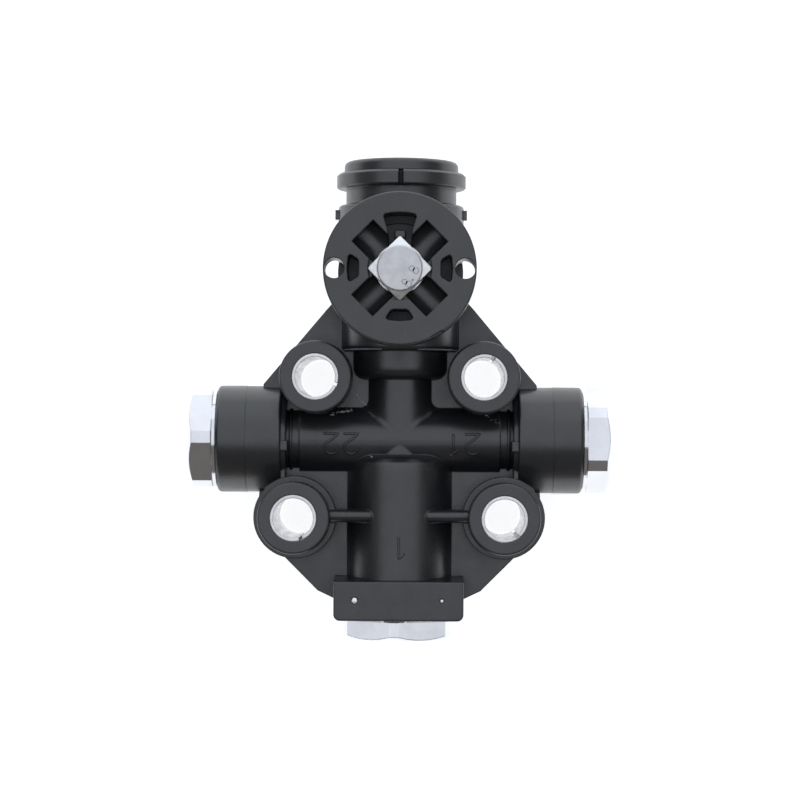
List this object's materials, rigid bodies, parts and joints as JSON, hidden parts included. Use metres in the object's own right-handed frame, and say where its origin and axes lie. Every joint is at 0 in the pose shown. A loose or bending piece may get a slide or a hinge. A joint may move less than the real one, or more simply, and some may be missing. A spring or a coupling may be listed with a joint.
{
  "type": "air suspension levelling valve",
  "caption": "Levelling valve of an air suspension: a rotary lever hub drives a spool that joins push-in air ports to supply or exhaust.",
  "frame": {"origin": "midway between the two upper mounting holes, on the rear mounting face", "axes": "+Z from the rear mounting face to the front with the lever hub, +Y towards the exhaust, +X towards port 21"},
  "size_m": [0.0866, 0.0984, 0.0399],
  "materials": {
    "moulded_nylon": "glass-filled nylon, satin, fine moulded texture",
    "hub_nylon": "glass-filled nylon, satin, faint turning and flow marks",
    "cap_plastic": "moulded nylon, satin",
    "sleeve_steel": "rolled and zinc plated",
    "bolt_steel": "zinc plated, pressed head",
    "shaft_steel": "ground",
    "nickel_plate": "nickel-plated brass, bright",
    "spool_alloy": "hard anodised, ground",
    "brass": "turned",
    "sintered_bronze": "porous, sintered",
    "spring_steel": "drawn spring wire",
    "black_steel": "spring steel, blackened",
    "collet_plastic": "black acetal",
    "seal_rubber": "nitrile rubber, smooth"
  },
  "bodies": {
    "valve_body": {"housing": "moulded_nylon", "mount_sleeves": "sleeve_steel", "pad_pins": "bolt_steel", "shaft_bush": "brass", "dust_ring": "seal_rubber", "cartridge_gasket": "seal_rubber", "valve_cartridge": "brass", "cartridge_o_ring": "seal_rubber", "exhaust_insert": "cap_plastic", "exhaust_o_ring": "seal_rubber", "exhaust_flap": "seal_rubber", "exhaust_cap": "cap_plastic", "retaining_clip": "black_steel", "inlet_filter": "sintered_bronze", "check_seat": "brass", "check_spring": "spring_steel", "spring_guide": "collet_plastic", "restrictors": "brass", "fitting_1": "nickel_plate", "fitting_21": "nickel_plate", "fitting_22": "nickel_plate", "tube_seals": "seal_rubber", "fitting_seals": "seal_rubber"},
    "lever_hub": {"lever_hub": "hub_nylon", "clamp_bolt": "bolt_steel", "rotor_shaft": "shaft_steel", "shaft_seals": "seal_rubber"},
    "control_spool": {"control_spool": "spool_alloy", "spool_seal": "seal_rubber"},
    "check_valve": {"check_poppet": "collet_plastic", "check_seal": "seal_rubber"},
    "collet_1": {"collet_1": "collet_plastic"},
    "collet_21": {"collet_21": "collet_plastic"},
    "collet_22": {"collet_22": "collet_plastic"}
  },
  "joints": [
    {"name": "hub_turn", "type": "hinge", "parent": "valve_body", "child": "lever_hub", "pos_m": [0, 0.0213, 0.03], "axis": [0, 0, 1], "range_deg": [-40, 40]},
    {"name": "spool_slide", "type": "slide", "parent": "valve_body", "child": "control_spool", "axis": [0, 1, 0], "range_m": [-0.00162, 0.00162]},
    {"name": "check_lift", "type": "slide", "parent": "valve_body", "child": "check_valve", "axis": [0, 1, 0], "range_m": [0, 0.0015], "stiffness_N_per_m": 60, "springref_m": -0.002, "deforming": ["check_spring"]},
    {"name": "collet_1_press", "type": "slide", "parent": "valve_body", "child": "collet_1", "axis": [0, 1, 0], "range_m": [0, 0.001]},
    {"name": "collet_21_press", "type": "slide", "parent": "valve_body", "child": "collet_21", "axis": [-1, 0, 0], "range_m": [0, 0.001]},
    {"name": "collet_22_press", "type": "slide", "parent": "valve_body", "child": "collet_22", "axis": [1, 0, 0], "range_m": [0, 0.001]}
  ],
  "couplings": [
    {"joint": "spool_slide", "follows": "hub_turn", "m_per_rad": 0.0023018}
  ]
}
